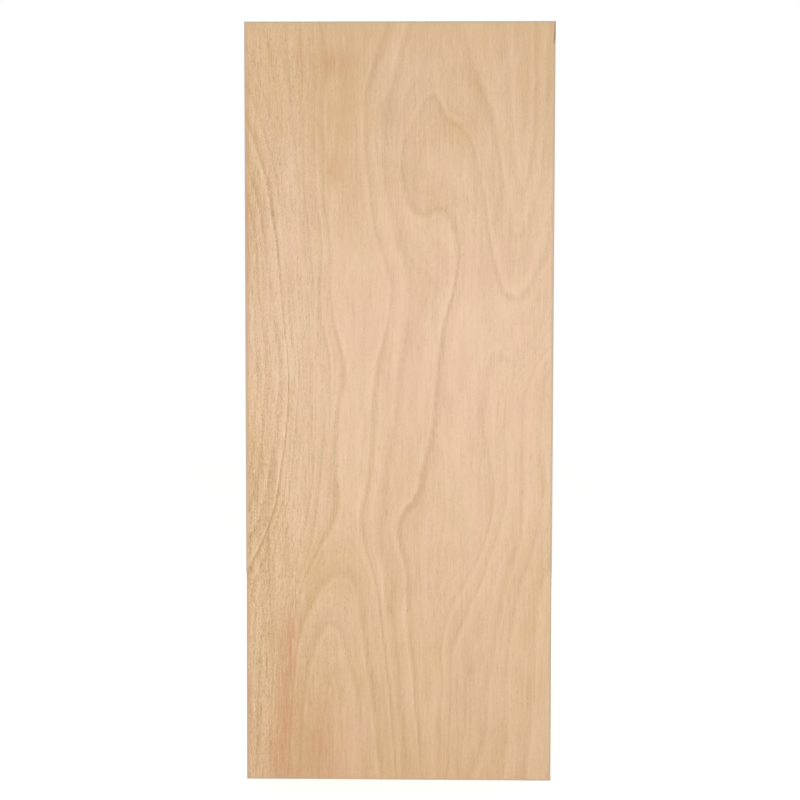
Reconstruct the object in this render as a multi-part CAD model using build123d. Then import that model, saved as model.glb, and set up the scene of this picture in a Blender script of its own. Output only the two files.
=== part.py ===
from build123d import *
import os

# A flush door leaf, 826 x 2040 x 40 mm: a softwood skeleton frame of grooved stiles and
# stub-tenoned rails, a tongued hardwood lipping down each long edge, and a three-ply plywood
# facing glued over each side. Each ply is a piece of its own, because the leaf's four edges show it.
#
# Frame, in millimetres: the origin is at the foot of the hinge edge, at mid thickness.
# +X runs across the leaf to the lock edge, -Y faces the front, and +Z is up.

# Leaf
LEAF_WIDTH = 826.0
LEAF_HEIGHT = 2040.0
FRAME_DEPTH = 32.0  # stiles, rails, blocks and lippings, between the two facings

# Plywood facing, from the outside in
FACE_VENEER = 0.8
CROSS_PLY = 2.4
INNER_VENEER = 0.8
ARRIS_RADIUS = 0.35  # sanded arris of a facing's outer edges

# Sliver torn from the front face veneer at the head of the lock edge
TEAR_HEAD_WIDTH = 2.6
TEAR_HOOK_WIDTH = 5.4  # how far its foot reaches in from the edge
TEAR_HOOK_DROP = 62.0  # from the head down to its foot
TEAR_HEEL_WIDTH = 3.2  # how far in its foot ends on the side of the edge
TEAR_HEEL_DROP = 56.0
TEAR_EDGE_DROP = 36.0  # from the head down to where the edge is whole again

# Lippings, tongued into the stiles
LIPPING_WIDTH = 8.0
LIPPING_TONGUE = 6.0
LIPPING_TONGUE_THICKNESS = 8.0

# Stiles, grooved on both edges
STILE_WIDTH = 44.0
RAIL_GROOVE_DEPTH = 12.0
RAIL_GROOVE_THICKNESS = 10.0
TONGUE_END_GAP = 0.5  # glue room at the end of each tongue and tenon

# Rails
TOP_RAIL_HEIGHT = 70.0
BOTTOM_RAIL_HEIGHT = 95.0
CROSS_RAIL_HEIGHT = 22.0
CROSS_RAIL_COUNT = 12

# Lock blocks, each of whole bays between two of the cross rails
BLOCK_WIDTH = 75.0
BLOCK_CENTRE_HEIGHT = 1000.0  # about where a latch is fitted
BLOCK_BAYS = 3

# Air holes that join the bays and open at the head and the foot
AIR_HOLE_DIAMETER = 8.0
AIR_HOLE_OFFSET = 190.0  # each side of the leaf's middle

# Places that follow from the sizes
HALF_FRAME = FRAME_DEPTH / 2
MIDDLE = LEAF_WIDTH / 2
STILE_OUTER = LIPPING_WIDTH
STILE_INNER = LIPPING_WIDTH + STILE_WIDTH
BAY_ZONE = LEAF_HEIGHT - TOP_RAIL_HEIGHT - BOTTOM_RAIL_HEIGHT
BAY_HEIGHT = (BAY_ZONE - CROSS_RAIL_COUNT * CROSS_RAIL_HEIGHT) / (CROSS_RAIL_COUNT + 1)
CROSS_RAIL_PITCH = BAY_HEIGHT + CROSS_RAIL_HEIGHT


def plan(x_from, x_to, depth, y_middle=0.0):
    """Rectangle in plan from x_from to x_to, centred on y_middle."""
    centre = Pos((x_from + x_to) / 2, y_middle)
    return centre * Rectangle(x_to - x_from, depth)


def upright(outline, foot, height):
    """Solid of a plan outline from the height foot upwards."""
    return Pos(0, 0, foot) * extrude(outline, amount=height)


def other_edge(piece):
    """The same piece at the lock edge: the leaf is symmetric about its middle."""
    return mirror(piece, about=Plane.YZ.offset(MIDDLE))


def ply(side, depth_from, thickness):
    """One ply of a facing. side is -1 for the front and +1 for the back, and depth_from is how
    far the ply's outer surface lies inside the facing's outer surface."""
    facing = FACE_VENEER + CROSS_PLY + INNER_VENEER
    outer = HALF_FRAME + facing - depth_from
    outline = plan(0, LEAF_WIDTH, thickness, side * (outer - thickness / 2))
    return upright(outline, 0, LEAF_HEIGHT)


def face_veneer(side):
    """Outer ply, with its four outer edges sanded round."""
    sheet = ply(side, 0, FACE_VENEER)
    outer_face = sheet.faces().sort_by(Axis.Y)[0 if side < 0 else -1]
    return fillet(outer_face.edges(), ARRIS_RADIUS)


def torn_sliver():
    """The splinter missing from the front veneer's head corner, as a solid to cut away."""
    foot = LEAF_HEIGHT - TEAR_HOOK_DROP
    head_point = (LEAF_WIDTH - TEAR_HEAD_WIDTH, LEAF_HEIGHT)
    hook_point = (LEAF_WIDTH - TEAR_HOOK_WIDTH, foot)
    heel_point = (LEAF_WIDTH - TEAR_HEEL_WIDTH, LEAF_HEIGHT - TEAR_HEEL_DROP)
    edge_point = (LEAF_WIDTH, LEAF_HEIGHT - TEAR_EDGE_DROP)
    corner = (LEAF_WIDTH, LEAF_HEIGHT)
    along_grain = ThreePointArc(
        head_point,
        (LEAF_WIDTH - TEAR_HEAD_WIDTH, LEAF_HEIGHT - TEAR_EDGE_DROP / 2),
        hook_point,
    )
    rest = Polyline(hook_point, heel_point, edge_point, corner, head_point)
    outline = make_face(Plane.XZ * (Curve() + [along_grain, rest]))
    through = HALF_FRAME + 2 * (FACE_VENEER + CROSS_PLY + INNER_VENEER)
    sliver = extrude(outline, amount=through)
    return sliver


def lipping():
    """Hinge-edge lipping: a strip with a tongue along its inner edge."""
    strip = plan(0, LIPPING_WIDTH, FRAME_DEPTH)
    tongue = plan(
        LIPPING_WIDTH,
        LIPPING_WIDTH + LIPPING_TONGUE - TONGUE_END_GAP,
        LIPPING_TONGUE_THICKNESS,
    )
    return upright(strip + tongue, 0, LEAF_HEIGHT)


def stile():
    """Hinge stile: grooved outside for the lipping and inside for the rails."""
    bar = plan(STILE_OUTER, STILE_INNER, FRAME_DEPTH)
    lipping_groove = plan(
        STILE_OUTER, STILE_OUTER + LIPPING_TONGUE, LIPPING_TONGUE_THICKNESS
    )
    rail_groove = plan(
        STILE_INNER - RAIL_GROOVE_DEPTH, STILE_INNER, RAIL_GROOVE_THICKNESS
    )
    return upright(bar - lipping_groove - rail_groove, 0, LEAF_HEIGHT)


def air_holes():
    """Plan outline of the two air holes that every rail has."""
    hole = Circle(AIR_HOLE_DIAMETER / 2)
    return [Pos(MIDDLE + side * AIR_HOLE_OFFSET, 0) * hole for side in (-1, 1)]


def rail_outline(shoulder, tenon):
    """Plan outline of a rail whose shoulders stand that far from the leaf's edges, with
    a stub tenon of that length at each end."""
    outline = plan(shoulder, LEAF_WIDTH - shoulder, FRAME_DEPTH)
    if tenon > 0:
        outline += plan(
            shoulder - tenon, LEAF_WIDTH - shoulder + tenon, RAIL_GROOVE_THICKNESS
        )
    for hole in air_holes():
        outline -= hole
    return outline


def full_rail(foot, height):
    """Rail between the stiles, stub-tenoned into their grooves."""
    tenon = RAIL_GROOVE_DEPTH - TONGUE_END_GAP
    return upright(rail_outline(STILE_INNER, tenon), foot, height)


def cross_rail_foot(number):
    """Height of a cross rail's underside. Number 1 is the lowest."""
    return BOTTOM_RAIL_HEIGHT + number * CROSS_RAIL_PITCH - CROSS_RAIL_HEIGHT


def rail_under_block():
    """Number of the cross rail that the lock blocks stand on."""
    half_block = (BLOCK_BAYS * CROSS_RAIL_PITCH - CROSS_RAIL_HEIGHT) / 2
    wanted = BLOCK_CENTRE_HEIGHT - half_block - BOTTOM_RAIL_HEIGHT
    number = round(wanted / CROSS_RAIL_PITCH)
    return min(max(number, 1), CROSS_RAIL_COUNT - BLOCK_BAYS)


def cross_rail(number):
    """One of the thin rails across the frame. Those beside the lock blocks butt against them."""
    below = rail_under_block()
    between_blocks = below < number < below + BLOCK_BAYS
    if between_blocks:
        outline = rail_outline(STILE_INNER + BLOCK_WIDTH, 0)
        return upright(outline, cross_rail_foot(number), CROSS_RAIL_HEIGHT)
    return full_rail(cross_rail_foot(number), CROSS_RAIL_HEIGHT)


def lock_block():
    """Hinge-side lock block: it fills whole bays, with a tongue in the stile's groove."""
    foot = cross_rail_foot(rail_under_block()) + CROSS_RAIL_HEIGHT
    height = BLOCK_BAYS * CROSS_RAIL_PITCH - CROSS_RAIL_HEIGHT
    body = plan(STILE_INNER, STILE_INNER + BLOCK_WIDTH, FRAME_DEPTH)
    tongue = plan(
        STILE_INNER - RAIL_GROOVE_DEPTH + TONGUE_END_GAP,
        STILE_INNER,
        RAIL_GROOVE_THICKNESS,
    )
    return upright(body + tongue, foot, height)


def facing_nodes(side, name):
    """The three plies of one facing, from the outside in."""
    outer = face_veneer(side)
    if side < 0:
        outer = outer - torn_sliver()
    return {
        f"{name}_face_veneer": outer,
        f"{name}_cross_ply": ply(side, FACE_VENEER, CROSS_PLY),
        f"{name}_inner_veneer": ply(side, FACE_VENEER + CROSS_PLY, INNER_VENEER),
    }


def frame_nodes():
    """Lippings, stiles, rails and lock blocks."""
    nodes = {
        "hinge_lipping": lipping(),
        "lock_lipping": other_edge(lipping()),
        "hinge_stile": stile(),
        "lock_stile": other_edge(stile()),
        "bottom_rail": full_rail(0, BOTTOM_RAIL_HEIGHT),
        "top_rail": full_rail(LEAF_HEIGHT - TOP_RAIL_HEIGHT, TOP_RAIL_HEIGHT),
        "lock_block_at_hinge_edge": lock_block(),
        "lock_block_at_lock_edge": other_edge(lock_block()),
    }
    for number in range(1, CROSS_RAIL_COUNT + 1):
        nodes[f"cross_rail_{number:02d}"] = cross_rail(number)
    return nodes


os.makedirs("parts", exist_ok=True)
for node_name, solid in {
    **facing_nodes(-1, "front"),
    **facing_nodes(1, "back"),
    **frame_nodes(),
}.items():
    export_step(solid, f"parts/{node_name}.step")
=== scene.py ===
import logging
import math
from collections.abc import Callable, Sequence
from dataclasses import dataclass, field
from enum import Enum
from functools import partial

import bpy
import numpy as np
from mathutils import Matrix, Vector


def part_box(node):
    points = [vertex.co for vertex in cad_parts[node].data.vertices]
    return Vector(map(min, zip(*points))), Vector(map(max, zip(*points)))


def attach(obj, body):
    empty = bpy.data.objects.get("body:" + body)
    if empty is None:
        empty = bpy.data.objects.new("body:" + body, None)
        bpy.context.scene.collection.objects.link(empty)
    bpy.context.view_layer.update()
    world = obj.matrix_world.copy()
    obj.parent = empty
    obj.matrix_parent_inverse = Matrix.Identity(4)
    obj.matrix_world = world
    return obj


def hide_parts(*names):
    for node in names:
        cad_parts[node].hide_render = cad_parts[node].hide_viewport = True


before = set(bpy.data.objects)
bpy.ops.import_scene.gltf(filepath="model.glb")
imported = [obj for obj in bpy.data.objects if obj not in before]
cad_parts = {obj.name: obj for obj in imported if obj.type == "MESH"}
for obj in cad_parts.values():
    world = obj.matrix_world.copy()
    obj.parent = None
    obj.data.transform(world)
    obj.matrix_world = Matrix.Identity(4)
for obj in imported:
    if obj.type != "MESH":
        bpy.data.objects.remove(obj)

# A flush door leaf in bare plywood: two peeled veneer faces over their cross plies, hardwood
# lippings down the long edges, and softwood stiles and rails that show at the head and the foot.
# Lengths are in metres unless a name says mm.

log = logging.getLogger("flush_door")
MM = 0.001
WHITE = (1.0, 1.0, 1.0, 1.0)
BLACK = (0.0, 0.0, 0.0, 1.0)

Pair = tuple[float, float]
Triple = tuple[float, float, float]
Cells = list[tuple[int, ...]]
Output = bpy.types.NodeSocket
AddNode = Callable[..., Output]


def linear(hex_colour: str) -> tuple[float, ...]:
    """Turns an sRGB hex colour into the linear colour that Blender wants.

    Args:
        hex_colour: The colour as #RRGGBB.

    Returns:
        Linear red, green, blue, and an alpha of 1.
    """
    channels = [int(hex_colour[i : i + 2], 16) / 255 for i in (1, 3, 5)]
    bright = [c / 12.92 if c <= 0.04045 else ((c + 0.055) / 1.055) ** 2.4 for c in channels]
    return (*bright, 1.0)


def add_node(
    tree: bpy.types.NodeTree,
    kind: str,
    feeds: Sequence | dict = (),
    out: int | str = 0,
    stops: Sequence[tuple[float, str]] = (),
    **settings: str | bool,
) -> Output | None:
    """Adds one node with its settings and links.

    Args:
        tree: The node tree that it goes into.
        kind: Blender's type name for the node, without the word ShaderNode in front.
        feeds: What goes into its inputs, in order or by name: a number, a colour, a vector or
            the output that feeds it.
        out: Which of its outputs to return.
        stops: Places and hex colours of a colour ramp.
        settings: The node's own properties.

    Returns:
        The output asked for, or None from a node without outputs.
    """
    node = tree.nodes.new("ShaderNode" + kind)
    for name, value in settings.items():
        setattr(node, name, value)
    for key, value in feeds.items() if isinstance(feeds, dict) else enumerate(feeds):
        if isinstance(value, Output):
            tree.links.new(value, node.inputs[key])
        else:
            node.inputs[key].default_value = value
    for number, (place, colour) in enumerate(stops):
        ramp = node.color_ramp.elements
        stop = ramp[number] if number < 2 else ramp.new(place)
        stop.position, stop.color = place, linear(colour)
    return node.outputs[out] if len(node.outputs) else None


def new_material(name: str) -> tuple[bpy.types.Material, AddNode]:
    """Starts a node material.

    Args:
        name: What the material is called.

    Returns:
        The material, with an empty node tree, and add_node for that tree.
    """
    material = bpy.data.materials.new(name)
    material.use_nodes = True
    material.node_tree.nodes.clear()
    return material, partial(add_node, material.node_tree)


# Figure of a peeled sheet


@dataclass(frozen=True)
class GrowthLine:
    """A line where one growth ring ends, as it shows on a peeled sheet.

    Attributes:
        ring: Number of the ring, counted across the sheet.
        depth: How dark its late wood is, 1 being a strong line.
        course: Points along the line, in mm from the foot of the hinge edge.
    """

    ring: float
    depth: float
    course: tuple[Pair, ...]


@dataclass(frozen=True)
class Zone:
    """A soft-edged zone of a sheet where its wood is different.

    Attributes:
        place: Its middle, in mm.
        reach: How far it reaches across and up, in mm.
        change: How different its middle is, in the unit of the list that holds the zone.
    """

    place: Pair
    reach: Pair
    change: float


@dataclass(frozen=True)
class Fleck:
    """A short dark pore streak or pin speck.

    Attributes:
        place: Its middle, in mm.
        half_width: Half its width, in mm.
        half_length: Half its length along the fibre, in mm.
        depth: How dark it is, in sRGB levels.
    """

    place: Pair
    half_width: float
    half_length: float
    depth: float


@dataclass(frozen=True)
class Figure:
    """Everything that is particular to one peeled face.

    Attributes:
        lines: Its growth lines.
        crests: Places between the lines where the ring number turns back, as x, z and ring.
        tones: Zones browner or paler by so many sRGB levels, browner below zero.
        fading: Zones where its lines lose that share of their depth, or gain it below zero.
        open_grain: Zones whose pores show more by that share.
        hues: Zones yellower by that share, or pinker below zero.
        blushes: Zones with that share of reddish wood.
        flecks: Its single dark streaks and specks.
    """

    lines: tuple[GrowthLine, ...]
    crests: tuple[Triple, ...]
    tones: tuple[Zone, ...]
    fading: tuple[Zone, ...]
    open_grain: tuple[Zone, ...]
    hues: tuple[Zone, ...]
    blushes: tuple[Zone, ...]
    flecks: tuple[Fleck, ...]


QUIET_DEPTH = 0.35  # depth of growth lines away from any line drawn
LINE_REACH = 4.0  # mm over which the depth of a line drawn holds
RING_WIDTHS = (5.0, 240.0)  # mm, narrowest and widest ring on a sheet
READ_BATCH = 4000  # points read at once, to spare memory
NO_GAP = 1e-12  # keeps the logarithm of a gap of nought finite


@dataclass
class GrowthSurface:
    """The ring number over a whole sheet.

    A peeling knife cuts each ring at a wandering depth, so the growth lines are the contours of
    one smooth surface. This is the thin plate that passes through the lines drawn.

    Attributes:
        figure: The face whose lines it follows.
        unit: Length in mm that counts as 1 in the sums, which keeps them well scaled.
        squeeze: How much a length along the fibre is shortened first, because the lines run
            mostly up the sheet.
        spacing: Distance in mm between points taken on a line.
        slack: How far the plate may miss a point, which smooths small wobbles.
        centres: The points taken, in the plate's own units.
        depths: Depth of the line at each of them.
        weights: The plate's load at each of them, then its offset and its two tilts.
    """

    figure: Figure
    unit: float = 400.0
    squeeze: float = 0.42
    spacing: float = 36.0
    slack: float = 2e-5
    centres: np.ndarray = field(init=False)
    depths: np.ndarray = field(init=False)
    weights: np.ndarray = field(init=False)

    def __post_init__(self) -> None:
        """Solves the plate once."""
        places, rings, depths = [], [], []
        for line in self.figure.lines:
            course = self.smooth_course(line.course)
            places.append(course)
            rings.append(np.full(len(course), line.ring))
            depths.append(np.full(len(course), line.depth))
        crests = np.array(self.figure.crests)
        places.append(crests[:, :2])
        rings.append(crests[:, 2])
        depths.append(np.full(len(crests), QUIET_DEPTH))
        self.centres = self.scaled(np.vstack(places))
        self.depths = np.concatenate(depths)
        count = len(self.centres)
        flat = np.column_stack([np.ones(count), self.centres])
        squared = self.gaps(self.centres)[2]
        system = np.zeros((count + 3, count + 3))
        system[:count, :count] = 0.5 * squared * np.log(squared) + self.slack * np.eye(count)
        system[:count, count:] = flat
        system[count:, :count] = flat.T
        self.weights = np.linalg.solve(system, np.concatenate([*rings, np.zeros(3)]))

    def scaled(self, places: np.ndarray) -> np.ndarray:
        """Places in the plate's own units."""
        return places * np.array([1.0, self.squeeze]) / self.unit

    def gaps(self, places: np.ndarray) -> tuple[np.ndarray, np.ndarray, np.ndarray]:
        """Measures how far places lie from the centres.

        Args:
            places: Points in the plate's own units.

        Returns:
            Offsets in x and z from each centre to each place, and their squared distance.
        """
        across = places[:, None, 0] - self.centres[None, :, 0]
        up = places[:, None, 1] - self.centres[None, :, 1]
        return across, up, across**2 + up**2 + NO_GAP

    def smooth_course(self, course: tuple[Pair, ...]) -> np.ndarray:
        """Runs a smooth curve through a line's points.

        Args:
            course: The points, in mm.

        Returns:
            Points on the curve, evenly enough spaced, in mm.
        """
        p = np.array(course, float)
        p = np.vstack([2 * p[0] - p[1], p, 2 * p[-1] - p[-2]])
        runs = []
        for before, start, end, after in zip(p[:-3], p[1:-2], p[2:-1], p[3:]):
            count = max(1, round(math.dist(start, end) / self.spacing))
            t = np.arange(count)[:, None] / count
            runs.append(
                start
                + 0.5 * (end - before) * t
                + 0.5 * (2 * before - 5 * start + 4 * end - after) * t**2
                + 0.5 * (3 * start - before - 3 * end + after) * t**3
            )
        return np.vstack([*runs, p[-2:-1]])

    def at(self, places: np.ndarray) -> tuple[np.ndarray, np.ndarray, np.ndarray]:
        """Reads the surface.

        Args:
            places: Points of the sheet, in mm.

        Returns:
            At each point the ring number, the width of a ring in mm, and the depth of the
            nearest lines.
        """
        ring, width, depth = (np.empty(len(places)) for _ in range(3))
        loads, (offset, *tilt) = self.weights[:-3], self.weights[-3:]
        for start in range(0, len(places), READ_BATCH):
            part = slice(start, start + READ_BATCH)
            here = self.scaled(places[part])
            across, up, squared = self.gaps(here)
            logs = np.log(squared)
            ring[part] = (0.5 * squared * logs) @ loads + offset + here @ tilt
            rise = ((logs + 1) * across) @ loads + tilt[0]
            climb = ((logs + 1) * up) @ loads + tilt[1]
            width[part] = self.unit / np.hypot(rise, climb * self.squeeze)
            near = (squared + (LINE_REACH / self.unit) ** 2) ** -2
            depth[part] = (near @ self.depths) / near.sum(axis=1)
        return ring, np.clip(width, *RING_WIDTHS), depth


FRONT_FIGURE = Figure(
    lines=(
        # Round the eye that the hinge edge cuts through
        GrowthLine(2, 0.6, (
            (0, 1480), (10, 1400), (30, 1130), (22, 930), (14, 865), (0, 820))),
        GrowthLine(1, 1.1, (
            (0, 1610), (22, 1500), (35, 1335), (55, 1130), (47, 990), (38, 870), (18, 775), (0, 735))),
        GrowthLine(0, 0.8, (
            (0, 1680), (26, 1600), (46, 1505), (73, 1270), (88, 1170), (91, 1100), (78, 915),
            (49, 760), (22, 680), (0, 645))),
        GrowthLine(-1, 1.6, (
            (0, 1795), (38, 1695), (61, 1610), (75, 1520), (84, 1470), (99, 1280), (116, 1095),
            (106, 935), (88, 795), (70, 720), (42, 648), (10, 582), (0, 555))),
        GrowthLine(-2, 0.45, (
            (0, 1880), (20, 1840), (70, 1685), (93, 1560), (108, 1400), (118, 1240), (129, 1090),
            (120, 940), (104, 800), (92, 740), (56, 630), (20, 535), (0, 450))),
        GrowthLine(-3, 0.45, (
            (0, 1975), (16, 1945), (64, 1800), (106, 1570), (126, 1310), (143, 1140), (142, 1060),
            (120, 825), (109, 750), (74, 622), (37, 515), (17, 390), (0, 70))),
        GrowthLine(-4, 0.4, (
            (46, 2040), (78, 1880), (123, 1560), (143, 1290), (155, 1120), (148, 960), (121, 730),
            (62, 545), (36, 350), (22, 0))),
        # The narrowest rings, where the leaf is palest
        GrowthLine(-4.7, 0.3, (
            (68, 2040), (85, 1940), (132, 1590), (160, 1230), (167, 1040), (150, 810), (121, 672),
            (69, 485), (54, 350), (40, 0))),
        GrowthLine(-4, 0.35, (
            (108, 2040), (154, 1510), (170, 1340), (173, 1260), (182, 1090), (162, 790), (97, 528),
            (77, 385), (66, 0))),
        GrowthLine(-3, 0.55, (
            (150, 2040), (157, 1880), (160, 1620), (180, 1400), (184, 1240), (193, 1060), (179, 805),
            (155, 668), (117, 527), (104, 452), (89, 270), (80, 0))),
        GrowthLine(-2, 0.6, (
            (184, 2040), (190, 1920), (188, 1840), (191, 1600), (205, 1460), (204, 1300), (209, 1235),
            (229, 1115), (213, 975), (202, 840), (177, 652), (123, 470), (108, 310), (96, 0))),
        GrowthLine(-1, 0.8, (
            (203, 2040), (217, 1940), (209, 1845), (207, 1790), (212, 1680), (211, 1575), (225, 1475),
            (228, 1350), (241, 1240), (265, 1130), (262, 1065), (249, 1000), (241, 860), (250, 760),
            (225, 675), (200, 635), (156, 550), (140, 500), (123, 370), (103, 0))),
        # Along both sides of the wide plain lens
        GrowthLine(-0.75, 0.7, (
            (225, 2040), (241, 1940), (243, 1895), (226, 1805), (227, 1705), (223, 1605), (236, 1500),
            (241, 1315), (250, 1255), (277, 1148), (284, 1090), (278, 1030), (265, 970), (257, 850),
            (264, 800), (262, 745), (248, 700), (228, 662), (204, 627), (165, 550))),
        GrowthLine(-0.75, 0.7, (
            (365, 2040), (352, 1998), (315, 1928), (307, 1885), (312, 1780), (316, 1660), (338, 1498),
            (377, 1365), (380, 1318), (375, 1268), (340, 1110), (316, 925), (317, 865), (310, 812),
            (300, 760), (306, 662), (345, 520), (359, 405), (393, 90), (397, 0))),
        GrowthLine(-1, 0.85, (
            (384, 2040), (374, 2005), (360, 1970), (326, 1845), (323, 1735), (332, 1615), (347, 1503),
            (360, 1450), (389, 1362), (387, 1262), (353, 1110), (337, 860), (330, 808), (312, 722),
            (325, 630), (355, 525), (370, 400), (391, 205), (406, 0))),
        GrowthLine(-1.75, 0.6, (
            (422, 2040), (413, 2000), (388, 1925), (352, 1845), (344, 1740), (353, 1615), (371, 1500),
            (405, 1402), (414, 1355), (416, 1305), (401, 1195), (384, 1005), (373, 935), (360, 885),
            (357, 838), (342, 745), (346, 632), (367, 520), (407, 160), (416, 0))),
        GrowthLine(-2, 0.65, (
            (438, 2040), (404, 1915), (375, 1750), (373, 1630), (403, 1470), (437, 1380), (439, 1280),
            (413, 1095), (410, 1030), (401, 965), (386, 900), (363, 735), (366, 628), (389, 515),
            (416, 220), (430, 60), (431, 0))),
        # The island at the head and the long wavy line that runs down from it
        GrowthLine(-2.75, 0.8, (
            (468, 0), (465, 75), (450, 205), (440, 325), (426, 425), (427, 535), (422, 580),
            (402, 650), (401, 690), (408, 720), (424, 748), (443, 772), (456, 802), (463, 845),
            (483, 940), (503, 1165), (514, 1217), (547, 1322), (557, 1375), (557, 1425), (549, 1468),
            (535, 1500), (517, 1512), (480, 1480), (457, 1490), (437, 1517), (410, 1608), (412, 1702),
            (423, 1748))),
        GrowthLine(-3, 1.1, (
            (474, 0), (467, 145), (458, 205), (451, 320), (438, 430), (437, 545), (430, 595),
            (418, 632), (412, 672), (416, 710), (432, 740), (453, 762), (467, 792), (475, 835),
            (500, 925), (507, 980), (531, 1215), (560, 1340), (570, 1440), (561, 1485), (544, 1522),
            (520, 1540), (495, 1532), (468, 1528), (446, 1550), (429, 1592), (419, 1640), (419, 1690),
            (427, 1730))),
        GrowthLine(-2.75, 0.8, (
            (465, 1830), (480, 1853), (497, 1862), (519, 1856), (546, 1803), (574, 1791), (608, 1738),
            (633, 1655), (652, 1560), (664, 1462), (686, 1370), (702, 1337), (722, 1327), (741, 1337),
            (757, 1362), (787, 1440), (809, 1570), (826, 1740))),
        GrowthLine(-3, 0.9, (
            (472, 1815), (486, 1838), (504, 1845), (517, 1833), (529, 1805), (545, 1782), (572, 1768),
            (607, 1718), (637, 1597), (659, 1450), (679, 1360), (695, 1325), (718, 1311), (741, 1317),
            (759, 1342), (794, 1420), (808, 1482), (826, 1630))),
        # The bowls that hang from the head near the lock edge
        GrowthLine(-2, 0.75, (
            (573, 2040), (608, 1917), (642, 1835), (668, 1748), (702, 1545), (713, 1497), (728, 1476),
            (743, 1487), (757, 1518), (783, 1612), (794, 1680), (805, 1850), (808, 2040))),
        GrowthLine(-1.75, 0.7, (
            (602, 2040), (650, 1915), (673, 1815), (695, 1650), (713, 1553), (727, 1518), (740, 1514),
            (753, 1540), (777, 1635), (792, 1780), (797, 2040))),
        GrowthLine(-1, 0.3, (
            (686, 2040), (710, 1800), (723, 1655), (734, 1612), (745, 1606))),
        GrowthLine(-1, 0.9, (
            (753, 1622), (764, 1710), (772, 1850), (776, 2040))),
        # Arcs round the eye at the lock edge, and the lines that run down from them
        GrowthLine(-3, 0.55, (
            (826, 1278), (773, 1175), (752, 1148), (728, 1136), (700, 1138), (678, 1140), (662, 1115),
            (643, 1015), (641, 960), (649, 908), (668, 825), (664, 730), (644, 650), (611, 572),
            (549, 460), (529, 370), (532, 265), (526, 150), (530, 95), (526, 0))),
        GrowthLine(-2, 0.4, (
            (826, 1245), (790, 1180), (742, 1120), (718, 1088), (704, 1040), (696, 905), (701, 785),
            (686, 698), (656, 608), (644, 562), (606, 485), (589, 440), (556, 350), (553, 220),
            (549, 70), (543, 0))),
        GrowthLine(-1, 0.6, (
            (826, 1185), (789, 1138), (760, 1060), (745, 885), (749, 765), (734, 640), (700, 540),
            (673, 370), (650, 255), (649, 145), (640, 95), (603, 0))),
        GrowthLine(0, 0.7, (
            (826, 1122), (813, 1095), (803, 1055), (794, 940), (801, 800), (797, 735), (768, 610),
            (731, 500), (704, 310), (704, 120), (693, 0))),
        GrowthLine(1, 0.75, (
            (826, 605), (800, 545), (783, 445), (769, 180), (757, 0))),
        # The arches that stand on the foot
        GrowthLine(0, 0.95, (
            (112, 0), (127, 270), (146, 410), (190, 508), (216, 540), (245, 557), (268, 562),
            (288, 548), (301, 520), (310, 475), (343, 230), (366, 0))),
        GrowthLine(0.3, 0.7, (
            (124, 0), (139, 270), (163, 405), (215, 495), (245, 518), (265, 522), (282, 505),
            (292, 465), (299, 410), (337, 160), (353, 0))),
        GrowthLine(1, 0.7, (
            (143, 0), (150, 160), (166, 295), (197, 398), (220, 425), (245, 420), (263, 400),
            (272, 355), (298, 250), (308, 180), (318, 0))),
        GrowthLine(1.3, 0.6, (
            (168, 0), (172, 80), (193, 290), (208, 345), (229, 366), (247, 345), (258, 300),
            (284, 190), (293, 0))),
        GrowthLine(2, 0.5, (
            (195, 0), (217, 210), (228, 270), (238, 288), (246, 250), (256, 130), (266, 70),
            (272, 0))),
    ),
    crests=(
        (272, 2035, -0.05), (275, 1990, -0.12), (272, 1940, -0.35), (268, 1890, -0.5), (262, 1840, -0.55),
        (258, 1780, -0.5), (258, 1700, -0.35), (268, 1630, -0.45), (283, 1550, -0.5), (295, 1450, -0.48),
        (303, 1350, -0.42), (306, 1270, -0.45), (304, 1180, -0.55), (300, 1100, -0.6), (292, 1010, -0.55),
        (287, 910, -0.55), (284, 830, -0.65), (280, 770, -0.72), (273, 700, -0.6), (270, 640, -0.38),
        (268, 595, -0.15), (232, 240, 2.15), (228, 160, 2.3), (222, 80, 2.4), (222, 0, 2.4),
        (738, 2040, -0.5), (738, 1900, -0.5), (740, 1780, -0.55), (742, 1690, -0.75),
        (508, 2030, -2.3), (512, 1960, -2.45), (512, 1905, -2.6),
        (508, 1720, -3.5), (505, 1650, -3.55), (575, 1660, -3.5), (545, 1600, -3.3), (600, 1560, -3.5),
        (590, 1450, -3.65), (587, 1380, -3.65), (575, 1310, -3.65), (557, 1225, -3.65), (548, 1130, -3.65),
        (543, 1030, -3.65), (530, 920, -3.65), (521, 830, -3.65), (515, 740, -3.65), (493, 640, -3.65),
        (480, 550, -3.65), (478, 450, -3.6), (482, 350, -3.6), (488, 250, -3.6), (493, 150, -3.6),
        (495, 30, -3.6),
        (618, 1400, -3.75), (615, 1280, -3.78), (605, 1180, -3.78), (600, 1080, -3.78), (597, 980, -3.78),
        (592, 880, -3.78), (580, 780, -3.78), (560, 690, -3.78), (535, 610, -3.75), (508, 520, -3.75),
        (700, 1230, -3.5), (760, 1260, -3.5), (815, 1330, -3.45),
        (826, 950, 0.6), (812, 960, 0.4), (826, 330, 1.7), (815, 150, 1.7), (0, 1150, 2.6), (0, 250, -2.7),
    ),
    tones=(
        Zone((0, 1100), (300, 700), -4),
        Zone((0, 1560), (55, 170), -7),
        Zone((10, 900), (55, 230), -8),
        Zone((55, 700), (45, 130), -5),
        Zone((110, 1700), (35, 500), 3),
        Zone((160, 1000), (40, 500), 2),
        Zone((265, 1700), (45, 230), -5),
        Zone((90, 90), (55, 330), -4),
        Zone((190, 120), (110, 300), -4),
        Zone((230, 1930), (70, 110), -4),
        Zone((225, 560), (60, 60), -4),
        Zone((800, 100), (160, 260), 5),
        Zone((600, 1150), (130, 260), 3),
        Zone((580, 1745), (45, 50), -5),
        Zone((520, 1560), (40, 45), -5),
        Zone((455, 1690), (40, 70), -3),
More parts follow.
